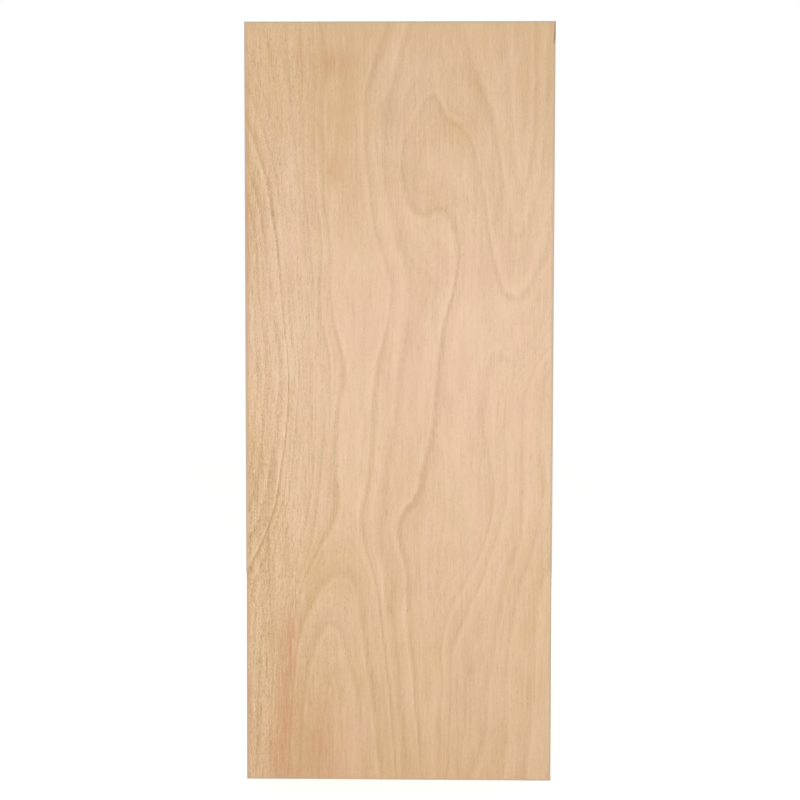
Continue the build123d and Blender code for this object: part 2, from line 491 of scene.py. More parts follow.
        Zone((620, 1930), (35, 70), -3),
        Zone((730, 1560), (90, 170), 3),
        Zone((470, 950), (35, 300), -3),
        Zone((420, 700), (30, 160), -3),
        Zone((413, 2040), (700, 150), 6),
        Zone((510, 2040), (110, 50), 4),
        Zone((300, 1530), (200, 130), -3),
        Zone((620, 1530), (60, 100), 3),
        Zone((70, 1950), (70, 100), 2),
        Zone((340, 1734), (60, 90), 2),
        Zone((190, 1120), (60, 100), 2),
        Zone((485, 1120), (60, 120), 3),
        Zone((290, 80), (50, 110), 2),
    ),
    fading=(
        Zone((770, 1190), (80, 110), 0.6),
        Zone((690, 1140), (60, 60), 0.5),
        Zone((40, 1150), (50, 450), 0.35),
        Zone((440, 1790), (30, 40), 0.7),
        Zone((820, 1500), (60, 200), 0.5),
        Zone((104, 930), (28, 330), -0.25),
        Zone((545, 1330), (40, 160), -0.3),
        Zone((410, 1300), (70, 450), 0.25),
        Zone((780, 1850), (90, 250), 0.45),
        Zone((826, 1000), (130, 600), 0.35),
        Zone((560, 1800), (150, 200), 0.2),
        Zone((740, 230), (120, 240), 0.35),
        Zone((100, 400), (130, 260), -0.45),
        Zone((30, 720), (70, 160), -0.3),
        Zone((590, 400), (110, 200), -0.15),
        Zone((280, 60), (60, 150), 0.4),
        Zone((240, 410), (45, 50), 0.35),
        Zone((490, 1510), (60, 40), 0.3),
    ),
    open_grain=(
        Zone((40, 420), (110, 420), 0.6),
        Zone((150, 1930), (140, 140), 0.4),
    ),
    hues=(
        Zone((250, 1790), (90, 190), 0.8),
        Zone((60, 1850), (120, 170), 0.8),
        Zone((200, 1960), (110, 90), 0.5),
        Zone((120, 280), (130, 220), 0.5),
        Zone((550, 1760), (60, 50), 0.55),
        Zone((600, 1920), (80, 70), 0.35),
        Zone((740, 1750), (60, 220), 0.3),
        Zone((170, 600), (140, 110), 0.7),
        Zone((300, 330), (60, 260), 0.3),
        Zone((430, 200), (50, 260), 0.3),
        Zone((110, 1480), (50, 260), -0.2),
        Zone((600, 1150), (160, 260), -0.5),
        Zone((350, 1250), (140, 260), -0.3),
        Zone((240, 450), (45, 60), -0.5),
        Zone((100, 530), (45, 70), -0.5),
        Zone((590, 330), (70, 200), -0.35),
        Zone((285, 90), (50, 120), -0.9),
        Zone((413, 2040), (700, 130), 0.5),
        Zone((800, 1960), (60, 150), 0.4),
        Zone((800, 480), (60, 200), 0.35),
        Zone((40, 450), (50, 130), 0.3),
        Zone((495, 250), (35, 130), 0.3),
        Zone((780, 250), (40, 200), 0.3),
        Zone((680, 1190), (75, 85), 0.4),
        Zone((660, 1400), (75, 60), -0.4),
        Zone((700, 1560), (120, 90), 0.3),
        Zone((413, 2040), (700, 60), 0.5),
    ),
    blushes=(
        Zone((100, 80), (38, 150), 0.5),
        Zone((112, 270), (28, 110), 0.5),
        Zone((115, 400), (24, 80), 0.35),
        Zone((200, 110), (45, 130), 0.4),
        Zone((240, 1932), (42, 36), 0.4),
        Zone((150, 1935), (40, 40), 0.25),
        Zone((235, 1655), (25, 40), 0.25),
        Zone((2, 1400), (9, 480), 0.7),
        Zone((3, 230), (8, 330), 0.6),
        Zone((824, 1300), (4, 700), 0.5),
    ),
    flecks=(
        Fleck((125, 1745), 1.6, 4, 22),
        Fleck((196, 1210), 1.6, 5, 18),
        Fleck((72, 435), 1.8, 6, 20),
        Fleck((45, 243), 1.6, 5, 20),
        Fleck((437, 465), 2.0, 5, 16),
        Fleck((672, 1960), 2.0, 5, 14),
        Fleck((556, 1417), 2.2, 8, 12),
        Fleck((582, 1424), 8.0, 3, 10),
        Fleck((55, 315), 2.2, 34, 26),
        Fleck((39, 188), 2.2, 30, 26),
        Fleck((30, 110), 2.0, 16, 20),
        Fleck((17, 25), 2.2, 28, 22),
    ),
)

BACK_FIGURE = Figure(
    lines=(
        GrowthLine(-4, 0.6, ((22, 0), (34, 520), (12, 1000), (40, 1480), (25, 2040))),
        GrowthLine(-3, 0.5, ((75, 0), (90, 500), (58, 1000), (95, 1500), (78, 2040))),
        GrowthLine(-2, 0.7, ((130, 0), (155, 480), (112, 980), (158, 1520), (126, 2040))),
        GrowthLine(-1, 0.9, ((205, 0), (246, 500), (200, 1000), (238, 1540), (192, 2040))),
        GrowthLine(
            0,
            0.9,
            ((282, 0), (312, 420), (372, 820), (424, 1010), (470, 860), (522, 420), (556, 0)),
        ),
        GrowthLine(
            1,
            0.6,
            ((338, 0), (366, 330), (410, 600), (436, 680), (458, 600), (488, 300), (506, 0)),
        ),
        GrowthLine(
            0,
            0.8,
            ((296, 2040), (330, 1720), (388, 1450), (428, 1340), (462, 1440), (508, 1730), (545, 2040)),
        ),
        GrowthLine(
            1,
            0.5,
            ((350, 2040), (384, 1850), (416, 1730), (434, 1690), (452, 1740), (474, 1860), (492, 2040)),
        ),
        GrowthLine(-1, 1.0, ((622, 0), (592, 480), (552, 1040), (580, 1520), (618, 2040))),
        GrowthLine(-2, 0.6, ((690, 0), (672, 500), (640, 1040), (662, 1500), (694, 2040))),
        GrowthLine(-3, 0.7, ((752, 0), (744, 520), (716, 1020), (738, 1520), (760, 2040))),
        GrowthLine(-4, 0.5, ((806, 0), (800, 500), (786, 1000), (798, 1500), (812, 2040))),
    ),
    crests=(
        (430, 1180, -0.5), (420, 200, 1.6), (425, 1960, 1.5), (425, 1090, -0.3), (430, 1270, -0.3),
    ),
    tones=(
        Zone((826, 700), (190, 900), -7),
        Zone((420, 200), (150, 420), -5),
        Zone((90, 1800), (150, 400), -4),
    ),
    fading=(Zone((640, 1500), (70, 160), 0.5),),
    open_grain=(Zone((700, 600), (160, 500), 0.4),),
    hues=(Zone((300, 1500), (140, 300), 0.5), Zone((500, 900), (160, 300), -0.5)),
    blushes=(Zone((770, 300), (40, 260), 0.5), Zone((120, 1880), (60, 120), 0.35)),
    flecks=(
        Fleck((604, 1312), 1.8, 9, 18),
        Fleck((233, 640), 1.6, 6, 16),
        Fleck((713, 1771), 1.8, 14, 16),
    ),
)


# Finishes

NOISE_RANGE = {"From Min": 0.2, "From Max": 0.8}  # where a noise has its troughs and crests
NOISE_ROUGHNESS = 0.55  # strength of each finer noise beside the one before
SEED_SLANT = 1.7  # how much farther a seed moves a pattern in depth than across
SMOOTH = {"interpolation_type": "SMOOTHSTEP"}


class Fibre(Enum):
    """Which way a piece's fibre runs: up the leaf or across it. Its value is that axis."""

    UPRIGHT = (0.0, 0.0, 1.0)
    ACROSS = (1.0, 0.0, 0.0)

    def stretch(self, width_mm: float, length_mm: float) -> Triple:
        """Scale that draws a pattern's marks that wide across the fibre and that long along it."""
        return tuple(1000 / (length_mm if along else width_mm) for along in self.value)

    def section(self) -> Triple:
        """Which axes lie across the fibre, as a mask."""
        return tuple(1.0 - along for along in self.value)


@dataclass(frozen=True)
class BareSurface:
    """Surface of bare wood, which is matt because it has no coat.

    Attributes:
        roughness: 0.6 for a planed face to 0.8 for a sawn one.
        relief: How much of the grain's relief shows.
        depth: How deep the grain is, in metres.
        ior: Refractive index of wood.
    """

    roughness: float
    relief: float
    depth: float
    ior: float = 1.5

    def finish(self, add: AddNode, colour: Output, grain: Output) -> None:
        """Ends a material with this surface.

        Args:
            add: Adds a node to the material.
            colour: Its colour.
            grain: Height of its open grain.
        """
        bump = add("Bump", {"Strength": self.relief, "Distance": self.depth, "Height": grain})
        feeds = {"Base Color": colour, "Roughness": self.roughness, "IOR": self.ior, "Normal": bump}
        add("OutputMaterial", (add("BsdfPrincipled", feeds),))


SANDED = BareSurface(0.68, 0.35, 0.1 * MM)
PLANED = BareSurface(0.6, 0.4, 0.15 * MM)
SAWN = BareSurface(0.75, 0.4, 0.15 * MM)
PEELED = BareSurface(0.75, 0.5, 0.1 * MM)


@dataclass(frozen=True)
class Marks:
    """A pattern of soft random marks along the upright fibre.

    Attributes:
        width_mm: Width of a mark. Okoume's pores are 0.2 mm wide, far too fine for a picture of
            the whole leaf, so all marks but the relief are drawn several times as coarse.
        length_mm: Length of a mark.
        seed: Offset between patterns.
        span: What the troughs and the crests between marks come to.
        detail: How much finer noise rides on the marks.
        held: Whether nothing goes past the span.
    """

    width_mm: float
    length_mm: float
    seed: float
    span: Pair = (-1.0, 1.0)
    detail: float = 1.0
    held: bool = False

    def draw(self, add: AddNode, place: Output, sheet_seed: float) -> Output:
        """Draws the pattern.

        Args:
            add: Adds a node to the material.
            place: The place on the leaf, in metres.
            sheet_seed: Offset between sheets.

        Returns:
            Its height at that place.
        """
        seed = self.seed + sheet_seed
        scale = Fibre.UPRIGHT.stretch(self.width_mm, self.length_mm)
        scaled = add("VectorMath", (place, scale), operation="MULTIPLY")
        moved = add("VectorMath", (scaled, (seed, seed * SEED_SLANT, 0.0)), operation="ADD")
        feeds = {"Vector": moved, "Scale": 1.0, "Detail": self.detail, "Roughness": NOISE_ROUGHNESS}
        noise = add("TexNoise", feeds)
        low, high = self.span
        feeds = {"Value": noise, **NOISE_RANGE, "To Min": low, "To Max": high}
        return add("MapRange", feeds, clamp=self.held)


# The knife tears fibres a little, so growth lines wander by a few mm
LINE_SWAY = Marks(12, 110, 3.1, (-1.8, 1.8))
LINE_JITTER = Marks(3.5, 40, 8.4, (-0.9, 0.9))
# They come and go along their length, and up close each is a row of pores
LINE_STRENGTH = Marks(70, 260, 12.3, (0.55, 1.3), held=True)
LINE_PORES = Marks(2.8, 24, 5.2, (0.5, 1.5), held=True)
# Yellow, pink and reddish wood shows in streaks along the fibre, and in random patches
HUE_STREAKS = Marks(6, 60, 2.9, (0.0, 2.0), detail=3.0)
HUE_STREAKS_HELD = (0.3, 1.7)
HUE_PATCHES = Marks(45, 130, 6.6, (-0.5, 0.5), detail=2.0)
# The greyed band along the arrises, handling wear and painted shade at the edges, is uneven by under a mm
EDGE_BAND_WOBBLE = Marks(12, 50, 4.4, (-0.8 * MM, 0.8 * MM), detail=2.0)
# Relief of the sanded surface
OPEN_GRAIN = Marks(0.8, 14, 9.1, detail=2.0)


@dataclass(frozen=True)
class FibreLayer:
    """One kind of streak, cloud or dash in the fibre.

    Attributes:
        marks: Its pattern, in sRGB levels unless it makes dashes.
        follows_pores: 0 where it is the same all over, and up to 1 where it goes with the pores.
        dash_levels: Depth in sRGB levels of single dashes, which the pattern's crests make.
        dash_start: Height in the pattern where a dash starts.
    """

    marks: Marks
    follows_pores: float
    dash_levels: float = 0.0
    dash_start: float = 0.0


DASH_FULL = 0.8  # height in a pattern where a dash is at its full depth
FIBRE_LAYERS = (
    # Long streaks, thin threads and soft clouds
    FibreLayer(Marks(7.0, 190, 1.3, (-2.8, 2.8)), 0.0),
    FibreLayer(Marks(3.2, 70, 4.7, (-7.6, 7.6)), 0.6),
    FibreLayer(Marks(40, 110, 5.9, (-5.2, 5.2), detail=3.0), 0.0),
    # Open pores, and pale dashes of fibre between them
    FibreLayer(Marks(2.8, 18, 2.2, detail=1.5), 1.0, -15.0, 0.1),
    FibreLayer(Marks(2.8, 26, 7.7), 1.0, 8.0, 0.2),
    # Specks, and broad streaks where the grain is open
    FibreLayer(Marks(3.0, 6, 3.8, (-10.0, 10.0)), 1.0),
    FibreLayer(Marks(17, 240, 9.6, (-4.6, 4.6)), 1.0),
)


@dataclass(frozen=True)
class InnerLines:
    """Fine lines inside each ring, which run alongside the growth lines.

    Attributes:
        per_ring: How many a ring holds.
        length_mm: How long one runs.
        levels: Its depth in sRGB levels.
    """

    per_ring: float
    length_mm: float
    levels: float


INNER_LINES = (InnerLines(2.3, 420, 3.5), InnerLines(5.5, 300, 3.0), InnerLines(13.0, 220, 2.5))


@dataclass(frozen=True)
class PeeledOkoume:
    """Rotary-peeled okoume face veneer, dry and sanded, with no coat on it.

    Peeling opens the growth rings into broad waving bands and arches. Each band darkens towards
    its late wood and starts again at a pale fringe. The large open pores show as short darker
    dashes along the fibre. Sanding leaves it matt. Its arrises are a little grey, partly from
    handling wear and partly as painted shade along the edges.

    Attributes:
        name: Name of the material.
        figure: The face whose flecks it carries.
        size: The sheet's width and height, in metres.
        seed: Offset that keeps the fine patterns of two sheets apart.
        brown: The darkest broad tone, which is heartwood.
        middle: The usual broad tone.
        pale: The palest broad tone.
        late_wood: What dark lines and pores turn towards.
        early_wood: What pale lines turn towards.
        pink: What the redder patches turn towards.
        yellow: What the yellower patches turn towards.
        reddish: What the blushes turn towards.
        edge_wear_and_shade: Greyed wood along the arrises, partly handling wear and partly painted shade
            at the edges.
        late_share: Share of a ring that its dark side takes.
        late_width: Most that the dark side takes, in mm.
        late_past: How far past the line it reaches, as a share of its width.
        late_levels: Depth of the dark side, in sRGB levels.
        fringe_share: Share of a ring that the pale fringe takes.
        fringe_width: Most that the fringe takes, in mm.
        fringe_rise: Where over its width the fringe starts, and where it is palest.
        fringe_levels: How much paler the fringe is, in sRGB levels.
        body_curve: How late in a ring its wood darkens.
        body_levels: How much a whole ring darkens towards its late wood, in sRGB levels.
        line_gaps: Gaps in mm between fine lines where they start to show and show fully. Where
            a line would be finer than about 2 mm it can't show.
        fleck_fade: Where a fleck fades out and where it is darkest, as shares of its half size.
        deepest: Levels at which wood is all late wood.
        palest: Levels at which wood is all early wood.
        hue_share: Most that a patch turns pink or yellow.
        wear_and_shade_band: How far in the greyed band of wear and painted edge shade fades out, and where
            it is at its greyest.
        surface: Its matt sanded surface.
    """

    name: str
    figure: Figure
    size: Pair
    seed: float
    brown: str = "#D1AB79"
    middle: str = "#E1BE95"
    pale: str = "#F0D0B2"
    late_wood: str = "#9D7336"
    early_wood: str = "#FFDFC2"
    pink: str = "#E9B9A2"
    yellow: str = "#DAB47F"
    reddish: str = "#D29971"
    edge_wear_and_shade: str = "#CBB6A1"
    late_share: float = 0.4
    late_width: float = 27.0
    late_past: float = 0.5
    late_levels: float = -11.0
    fringe_share: float = 0.4
    fringe_width: float = 30.0
    fringe_rise: Pair = (0.1, 0.42)
    fringe_levels: float = 5.5
    body_curve: float = 1.5
    body_levels: float = -3.5
    line_gaps: Pair = (1.5, 5.0)
    fleck_fade: Pair = (1.2, 0.3)
    deepest: float = -60.0
    palest: float = 40.0
    hue_share: float = 0.45
    wear_and_shade_band: Pair = (7.5 * MM, 0.5 * MM)
    surface: BareSurface = SANDED

    def growth_bands(self, add: AddNode, place: Output) -> Output:
        """Light and dark of the growth rings.

        Args:
            add: Adds a node to the material.
            place: The place on the leaf, in metres.

        Returns:
            sRGB levels, below zero where darker.
        """
        growth, width, depth = (
            add("Attribute", attribute_name=name, out="Fac")
            for name in ("growth", "ring_width", "line_depth")
        )
        sway, jitter, strength, pores = (
            marks.draw(add, place, self.seed)
            for marks in (LINE_SWAY, LINE_JITTER, LINE_STRENGTH, LINE_PORES)
        )
        wander = add("Math", (sway, jitter), operation="ADD")
        shift = add("Math", (wander, width), operation="DIVIDE")
        moved = add("Math", (growth, shift), operation="ADD")
        part = add("Math", (moved,), operation="FRACT")
        past = add("Math", (part, width), operation="MULTIPLY")
        left = add("Math", (width, past), operation="SUBTRACT")

        # Late wood deepens slowly up to the line, and ends soon past it
        late_width = add("Math", (width, self.late_share), operation="MULTIPLY")
        late_width = add("Math", (late_width, self.late_width), operation="MINIMUM")
        before = add("Math", (left, late_width), operation="DIVIDE")
        before = add("MapRange", {"Value": before, "From Min": 1.0, "From Max": 0.0}, **SMOOTH)
        after = add("Math", (past, late_width), operation="DIVIDE")
        span = {"From Min": self.late_past, "From Max": 0.0}
        after = add("MapRange", {"Value": after, **span}, **SMOOTH)
        late = add("Math", (before, after), operation="MAXIMUM")

        # The pale fringe follows at once, and fades over the rest of its width
        fringe_width = add("Math", (width, self.fringe_share), operation="MULTIPLY")
        fringe_width = add("Math", (fringe_width, self.fringe_width), operation="MINIMUM")
        over = add("Math", (past, fringe_width), operation="DIVIDE")
        start, crest = self.fringe_rise
        comes = add("MapRange", {"Value": over, "From Min": start, "From Max": crest}, **SMOOTH)
        goes = add("MapRange", {"Value": over, "From Min": 1.0, "From Max": crest}, **SMOOTH)
        fringe = add("Math", (comes, goes), operation="MULTIPLY")
        fringe = add("Math", (fringe, self.fringe_levels), operation="MULTIPLY")

        line = add("Math", (late, self.late_levels, fringe), operation="MULTIPLY_ADD")
        for share in (pores, depth, strength):
            line = add("Math", (line, share), operation="MULTIPLY")
        body = add("Math", (part, self.body_curve), operation="POWER")
        bands = add("Math", (body, self.body_levels, line), operation="MULTIPLY_ADD")
        return add("Math", (bands, self.inner_lines(add, place, moved, width)), operation="ADD")

    def inner_lines(self, add: AddNode, place: Output, ring: Output, width: Output) -> Output:
        """Lines inside each ring.

        Args:
            add: Adds a node to the material.
            place: The place on the leaf, in metres.
            ring: The ring number.
            width: The ring's width, in mm.

        Returns:
            sRGB levels, below zero where darker.
        """
        height = add("SeparateXYZ", (place,), out=2)
        start, full = self.line_gaps
        total = 0.0
        for lines in INNER_LINES:
            across = add("Math", (ring, lines.per_ring), operation="MULTIPLY")
            along = add("Math", (height, 1000 / lines.length_mm), operation="MULTIPLY")
            where = add("CombineXYZ", (across, along, lines.per_ring + self.seed))
            noise = add("TexNoise", {"Vector": where, "Scale": 1.0, "Detail": 1.0})
            feeds = {"Value": noise, **NOISE_RANGE, "To Min": -lines.levels, "To Max": lines.levels}
            swing = add("MapRange", feeds, clamp=False)
            gap = add("Math", (width, lines.per_ring), operation="DIVIDE")
            shows = add("MapRange", {"Value": gap, "From Min": start, "From Max": full}, **SMOOTH)
            total = add("Math", (swing, shows, total), operation="MULTIPLY_ADD")
        return total

    def fibre(self, add: AddNode, place: Output) -> Output:
        """Streaks, clouds, pores and specks.

        Args:
            add: Adds a node to the material.
            place: The place on the leaf, in metres.

        Returns:
            sRGB levels, below zero where darker.
        """
        pores = add("Attribute", attribute_name="pores", out="Fac")
        total = 0.0
        for layer in FIBRE_LAYERS:
            value = layer.marks.draw(add, place, self.seed)
            if layer.dash_levels:
                span = {"From Min": layer.dash_start, "From Max": DASH_FULL, "To Max": layer.dash_levels}
                value = add("MapRange", {"Value": value, **span}, **SMOOTH)
            share = add("Math", (pores, layer.follows_pores), operation="POWER")
            total = add("Math", (value, share, total), operation="MULTIPLY_ADD")
        return total

    def flecks(self, add: AddNode, place: Output) -> Output:
        """Single dark streaks and specks.

        Args:
            add: Adds a node to the material.
            place: The place on the leaf, in metres.

        Returns:
            sRGB levels, below zero.
        """
        edge, core = self.fleck_fade
        total = 0.0
        for fleck in self.figure.flecks:
            scale = (1000 / fleck.half_width, 0.0, 1000 / fleck.half_length)
            here = add("VectorMath", (place, scale), operation="MULTIPLY")
            centre = (fleck.place[0] / fleck.half_width, 0.0, fleck.place[1] / fleck.half_length)
            gap = add("VectorMath", (here, centre), operation="DISTANCE", out="Value")
            span = {"From Min": edge, "From Max": core, "To Max": -fleck.depth}
            mark = add("MapRange", {"Value": gap, **span}, **SMOOTH)
            total = add("Math", (mark, total), operation="ADD")
        return total

    def arris(self, add: AddNode, place: Output) -> Output:
        """How much of the greyed edge band shows, which is handling wear and painted shade.

        Args:
            add: Adds a node to the material.
            place: The place on the leaf, in metres.

        Returns:
            A share from 0 to 1.
        """
        from_side, from_end = (
            add("Math", (add("SeparateXYZ", (place,), out=axis), length / 2), operation="PINGPONG")
            for axis, length in zip((0, 2), self.size)
        )
        inside = add("Math", (from_side, from_end), operation="MINIMUM")
        inside = add("Math", (inside, EDGE_BAND_WOBBLE.draw(add, place, self.seed)), operation="ADD")
        start, end = self.wear_and_shade_band
        return add("MapRange", {"Value": inside, "From Min": start, "From Max": end}, **SMOOTH)

    def make(self) -> bpy.types.Material:
        """Makes the material.

        Returns:
            The material.
        """
        material, add = new_material(self.name)
        place = add("TexCoord", out="Object")
        tone, hue, blush = (
            add("Attribute", attribute_name=name, out="Fac") for name in ("tone", "hue", "blush")
        )
        stops = ((0.0, self.brown), (1.0, self.pale), (0.5, self.middle))
        colour = add("ValToRGB", (tone,), stops=stops)
        levels = add("Math", (self.growth_bands(add, place), self.fibre(add, place)), operation="ADD")
        levels = add("Math", (levels, self.flecks(add, place)), operation="ADD")
        streaks = add("Clamp", (HUE_STREAKS.draw(add, place, self.seed), *HUE_STREAKS_HELD))
        patches = HUE_PATCHES.draw(add, place, self.seed)
        hue = add("Math", (hue, streaks, patches), operation="MULTIPLY_ADD")
        turns = (
            (levels, self.deepest, 1.0, self.late_wood),
            (levels, self.palest, 1.0, self.early_wood),
            (hue, -1.0, self.hue_share, self.pink),
            (hue, 1.0, self.hue_share, self.yellow),
            (add("Math", (blush, streaks), operation="MULTIPLY"), 1.0, 1.0, self.reddish),
            # Greys the wood along the edges: handling wear, and painted shade at the arrises
            (self.arris(add, place), 1.0, 1.0, self.edge_wear_and_shade),
        )
        for value, full, most, turns_to in turns:
            share = add("MapRange", {"Value": value, "From Max": full, "To Max": most})
            colour = add("MixRGB", {"Fac": share, "Color1": colour, "Color2": linear(turns_to)})
        self.surface.finish(add, colour, OPEN_GRAIN.draw(add, place, self.seed))
        return material


@dataclass(frozen=True)
class Timber:
    """What the bare wood of the leaf's edges shares.

    Attributes:
        name: Name of the material.
        fibre: Which way its fibre runs.
    """

    name: str
    fibre: Fibre

    def streaks(self, add: AddNode, place: Output, size_mm: Pair, detail: float) -> Output:
        """Noise drawn out along the fibre.

        Args:
            add: Adds a node to the material.
            place: The place on the leaf, in metres.
            size_mm: Width and length of a streak.
            detail: How much finer noise rides on the streaks.

        Returns:
            Its height from 0 to 1.
        """
        scaled = add("VectorMath", (place, self.fibre.stretch(*size_mm)), operation="MULTIPLY")
        return add("TexNoise", {"Vector": scaled, "Scale": 1.0, "Detail": detail})

    def end_on(self, add: AddNode) -> Output:
        """How far the surface is cut across the fibre, from 0 to 1."""
        feeds = add("NewGeometry", out="Normal"), self.fibre.value
        turned = add("VectorMath", feeds, operation="DOT_PRODUCT", out="Value")
        return add("Math", (turned,), operation="ABSOLUTE")


@dataclass(frozen=True)
class Species:
    """Looks of one kind of timber.

    Attributes:
        name: Its name.
        early: Colour of its early wood.
        late: Colour of its late wood.
        ring_mm: Width of a ring.
        surface: Its surface on the leaf.
    """

    name: str
    early: str
    late: str
    ring_mm: float
    surface: BareSurface


MERANTI = Species("meranti", "#CDA079", "#AE7C56", 5.0, PLANED)
SPRUCE = Species("spruce", "#E4C79B", "#C99B63", 2.8, SAWN)


@dataclass(frozen=True)
class SolidTimber(Timber):
    """Sawn or planed solid timber, bare.

    Its rings lie round a pith, so long faces show straight lines and ends show arcs. Ends are
    darker, because a saw leaves the open fibre rough and it drinks the light.

    Attributes:
        species: Which timber it is.
        pith: Where the pith lies, in metres, outside the piece.
        end_shade: What the ends turn its colour by.
        fine_mm: Width and length of its fine streaks.
        sway_mm: Width and length of the slow sway of its rings.
        sway_rings: How many rings the sway shifts them.
        late_curve: How late in a ring its wood darkens.
        late_blur: How much the fine streaks blur that.
        late_range: Values from which it darkens and where it is darkest.
    """

    species: Species
    pith: Triple
    end_shade: str = "#C9B8A6"
    fine_mm: Pair = (1.4, 60)
    sway_mm: Pair = (25, 400)
    sway_rings: float = 1.6
    late_curve: float = 3.0
    late_blur: float = 0.5
    late_range: Pair = (0.1, 1.2)

    def make(self) -> bpy.types.Material:
        """Makes the material.

        Returns:
            The material.
        """
        material, add = new_material(self.name)
        place = add("TexCoord", out="Object")
        fine = self.streaks(add, place, self.fine_mm, detail=3.0)
        slow = self.streaks(add, place, self.sway_mm, detail=1.0)
        mask = self.fibre.section()
        section = add("VectorMath", (place, mask), operation="MULTIPLY")
        pith = tuple(p * m for p, m in zip(self.pith, mask))
        reach = add("VectorMath", (section, pith), operation="DISTANCE", out="Value")
        sway = add("Math", (slow, self.sway_rings), operation="MULTIPLY")
        rings = add("Math", (reach, 1000 / self.species.ring_mm, sway), operation="MULTIPLY_ADD")
        part = add("Math", (rings,), operation="FRACT")
        late = add("Math", (part, self.late_curve), operation="POWER")
        late = add("Math", (fine, self.late_blur, late), operation="MULTIPLY_ADD")
        start, full = self.late_range
        late = add("MapRange", {"Value": late, "From Min": start, "From Max": full})
        colour = add("MixRGB", (late, linear(self.species.early), linear(self.species.late)))
        shade = add("MixRGB", (self.end_on(add), WHITE, linear(self.end_shade)))
        colour = add("MixRGB", (1.0, colour, shade), blend_type="MULTIPLY")
        self.species.surface.finish(add, colour, fine)
        return material


@dataclass(frozen=True)
class PlyLayer(Timber):
    """A ply inside the facing, peeled from pale poplar and hot-pressed.

    On the leaf's edges it shows as a thin stripe, with the dark red-brown glue film at both of
    its faces. Seen end-on its stripe is browner than seen along the fibre. The film covers its
    faces too, and shows where the face veneer is torn away, where its darkness is partly real
    glue and partly painted shade in the torn notch.

    Attributes:
        middle: Height of its middle over the leaf's mid plane, in metres, with its sign.
        thickness: Its thickness, in metres.
        wood: Its colour along the fibre.
        end_wood: Its colour end-on.
        streak: Colour that its darker streaks turn it by.
        streak_mm: Width and length of a streak.
        streak_range: Heights of its noise where a streak is darkest and where it has ended.
        glue_and_notch_shade: Colour of the glue film, which in the torn notch is also painted shade.
        film: How deep the glue has gone in, in metres.
        film_least: How much of the film shows where the roller has spread the least.
        surface: Its surface.
    """

    middle: float
    thickness: float
    wood: str = "#D9B48C"
    end_wood: str = "#B98F66"
    streak: str = "#D8C8B6"
    streak_mm: Pair = (0.9, 30)
    streak_range: Pair = (0.25, 0.75)
    glue_and_notch_shade: str = "#8A5A3C"
    film: float = 0.22 * MM
    film_least: float = 0.55
    surface: BareSurface = PEELED

    def make(self) -> bpy.types.Material:
        """Makes the material.

        Returns:
            The material.
        """
        material, add = new_material(self.name)
        place = add("TexCoord", out="Object")
        fine = self.streaks(add, place, self.streak_mm, detail=3.0)
        wood = add("MixRGB", (self.end_on(add), linear(self.wood), linear(self.end_wood)))
        stops = tuple(zip(self.streak_range, (self.streak, "#FFFFFF")))
        streaky = add("ValToRGB", (fine,), stops=stops)
        wood = add("MixRGB", (1.0, wood, streaky), blend_type="MULTIPLY")
        depth = add("Math", (add("SeparateXYZ", (place,), out=1), self.middle), operation="SUBTRACT")
        depth = add("Math", (depth,), operation="ABSOLUTE")
        half = self.thickness / 2
        span = {"From Min": half - self.film, "From Max": half}
        film = add("MapRange", {"Value": depth, **span}, **SMOOTH)
        span = {"From Min": NOISE_RANGE["From Min"], "To Min": self.film_least}
        patchy = add("MapRange", {"Value": fine, **span})
        film = add("Math", (film, patchy), operation="MULTIPLY")
        # The dark glue film: real glue lines on the edges, and also painted shade where it shows in the
        # torn notch
        colour = add("MixRGB", (film, wood, linear(self.glue_and_notch_shade)))
        self.surface.finish(add, colour, fine)
        return material


# Pieces


class Side(Enum):
    """Which side of the leaf a piece is on. Its value is the sign of Y there."""

    FRONT = -1
    BACK = 1


# Broad tone of a face, in sRGB levels from the usual tone: palest a little above mid height and
# falling away to both ends. This is partly the paler sapwood there and partly painted light:
# a painted pool of light at mid height, with painted shade towards the head and the foot
TONE_AND_LIGHT_MIDDLE = 12.0
TONE_AND_SHADE_FALL = 9.0
TONE_HEIGHT = 1230.0  # mm
TONE_REACH = 900.0  # mm
TONE_CURVE = 1.1
TONE_RANGE = 40.0
# Open pores show a little all over, and most along the hinge edge
PORES_PLAIN = 0.5
PORES_AT_HINGE = 0.7
PORES_REACH = 190.0  # mm
SAME_HEIGHT = 1e-9  # metres within which a row counts as at a height


def dress(node: str, material: bpy.types.Material) -> None:
    """Puts a material on every face of a solid piece.

    Args:
        node: Name of the piece.
        material: Its material.
    """
    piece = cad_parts[node]
    if not piece.material_slots:
        piece.data.materials.append(material)
    for slot in piece.material_slots:
        slot.material = material
    log.info("%s: %s", node, material.name)


